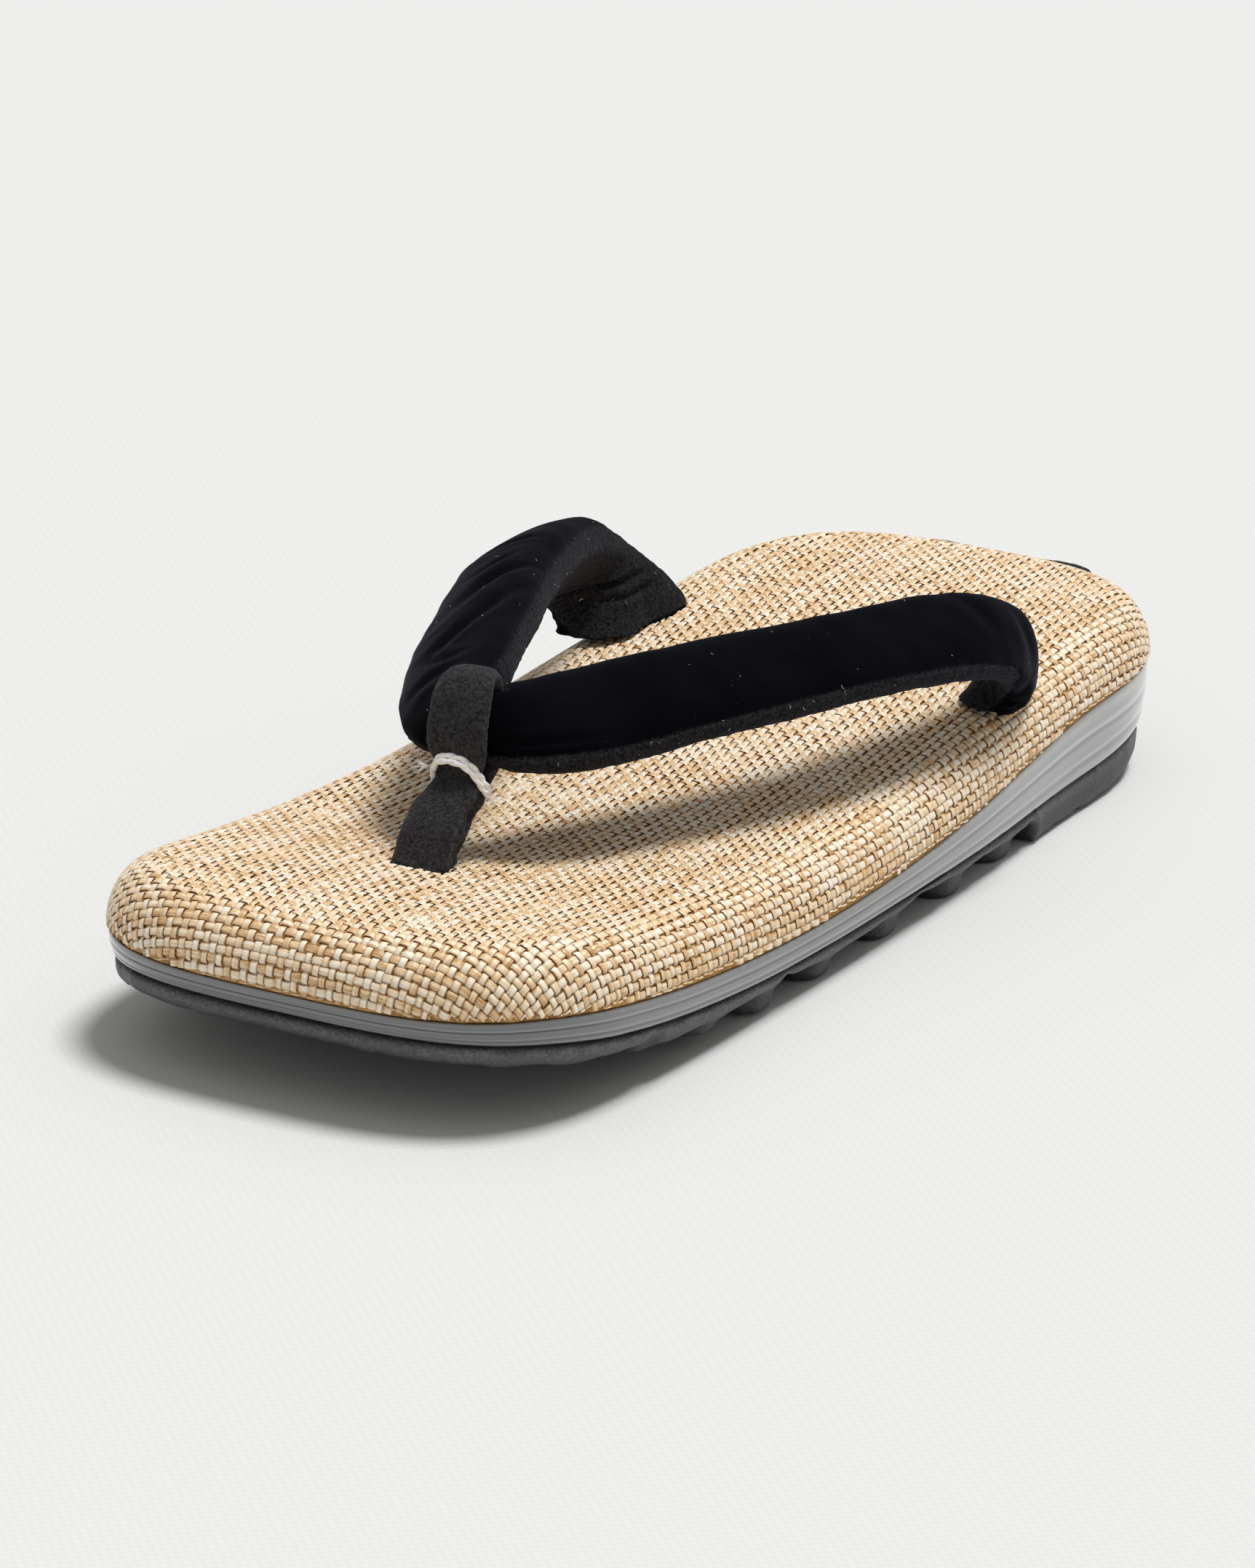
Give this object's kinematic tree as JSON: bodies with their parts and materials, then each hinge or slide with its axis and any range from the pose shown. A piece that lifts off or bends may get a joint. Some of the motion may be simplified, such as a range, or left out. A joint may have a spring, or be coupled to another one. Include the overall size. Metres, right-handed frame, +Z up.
{
  "type": "zori sandal",
  "caption": "Flat thong sandal with a woven footbed, clear ribbed midsole, lugged rubber sole and padded velvet straps.",
  "frame": {"origin": "on the floor under the middle of the sandal", "axes": "+Z up, the toe points to -Y, and the sandal is mirror-symmetric about the YZ plane but for the fuller strap on its -X side"},
  "size_m": [0.1069, 0.2704, 0.0619],
  "materials": {
    "footbed": "plain weave of pale straw-like strips",
    "midsole": "clear grey moulded plastic with fine ribs",
    "outsole": "dark grey rubber with a grainy face",
    "upper": "black velvet with a fleece lining",
    "thong": "charcoal fleece",
    "tie": "white twisted thread",
    "heel_tab": "plain dark tape"
  },
  "bodies": {
    "root": {"footbed": "footbed", "midsole": "midsole", "outsole": "outsole", "upper": "upper", "thong": "thong", "tie": "tie", "heel_tab": "heel_tab"}
  },
  "joints": []
}
